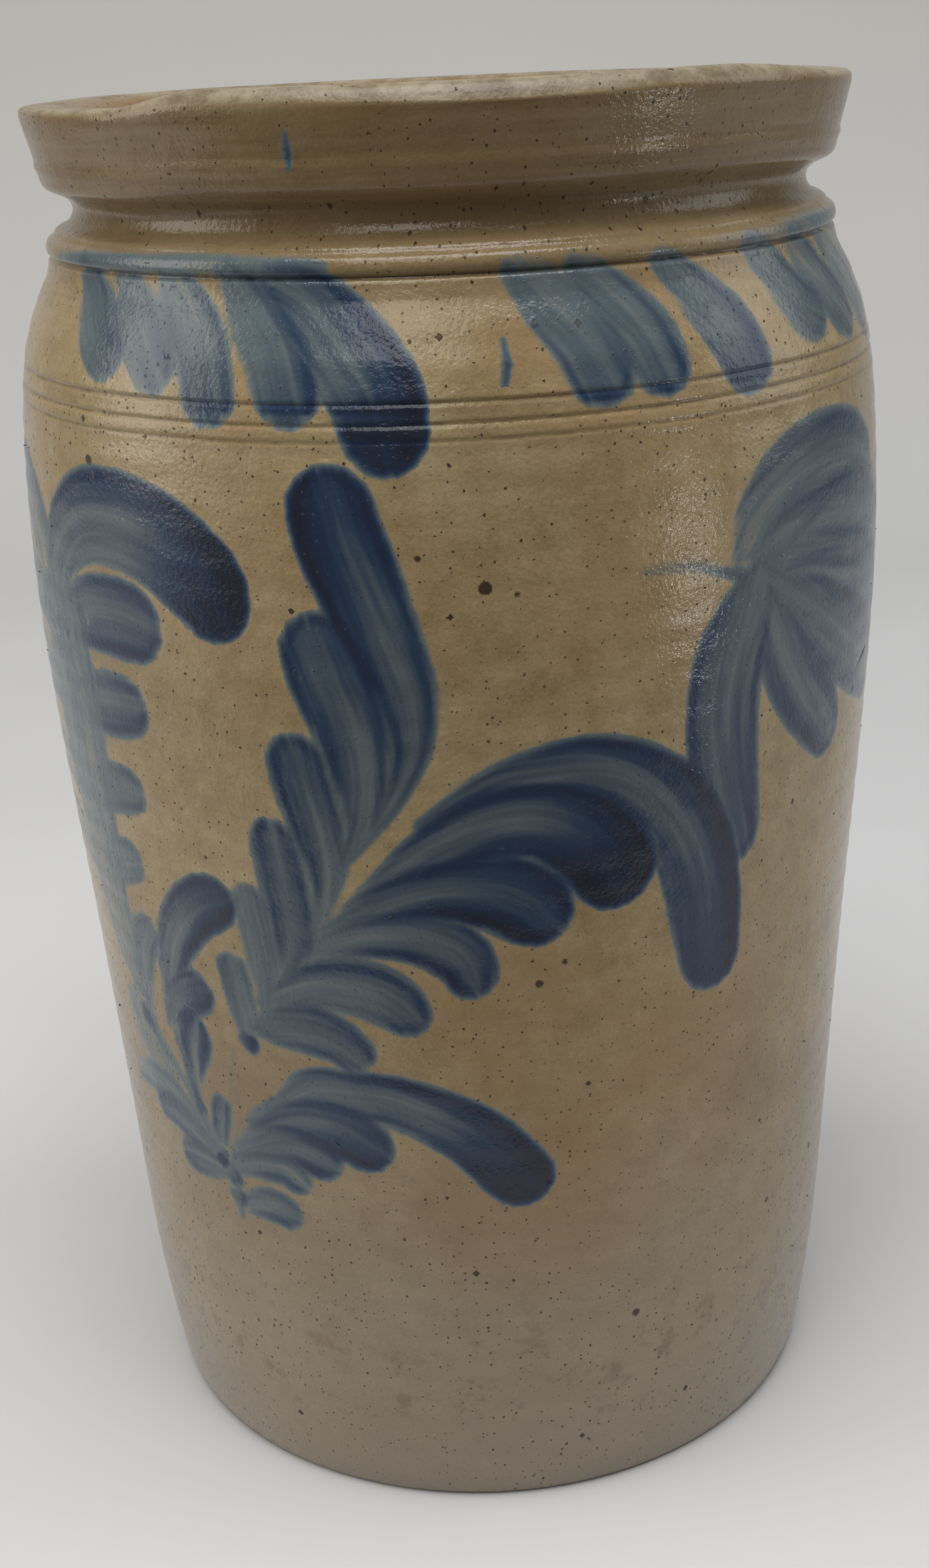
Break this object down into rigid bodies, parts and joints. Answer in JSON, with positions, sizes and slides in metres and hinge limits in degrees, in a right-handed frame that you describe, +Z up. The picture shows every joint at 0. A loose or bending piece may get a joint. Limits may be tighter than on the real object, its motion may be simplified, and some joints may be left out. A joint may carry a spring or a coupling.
{
  "type": "fermenting crock",
  "caption": "Tall salt-glazed stoneware crock with a heavy collar, a tying groove and brushed blue leaves, holding half-round lift-out weights.",
  "frame": {"origin": "centre of the foot, on the surface the crock stands on", "axes": "+Z up along the crock's own axis, -Y towards the decorated front that the picture shows"},
  "size_m": [0.2484, 0.2484, 0.4],
  "materials": {
    "salt_glazed_stoneware": "salt glaze over grey-tan stoneware with brushed cobalt blue leaves, satin with an orange-peel texture",
    "fired_clay": "unglazed fired stoneware, matt"
  },
  "bodies": {
    "crock": {"crock": "salt_glazed_stoneware"},
    "weight_left": {"weight_left": "fired_clay"},
    "weight_right": {"weight_right": "fired_clay"}
  },
  "joints": [
    {"name": "weight_left_lift", "type": "slide", "parent": "crock", "child": "weight_left", "axis": [0, 0, 1], "range_m": [0, 0.4]},
    {"name": "weight_right_lift", "type": "slide", "parent": "crock", "child": "weight_right", "axis": [0, 0, 1], "range_m": [0, 0.4]}
  ]
}
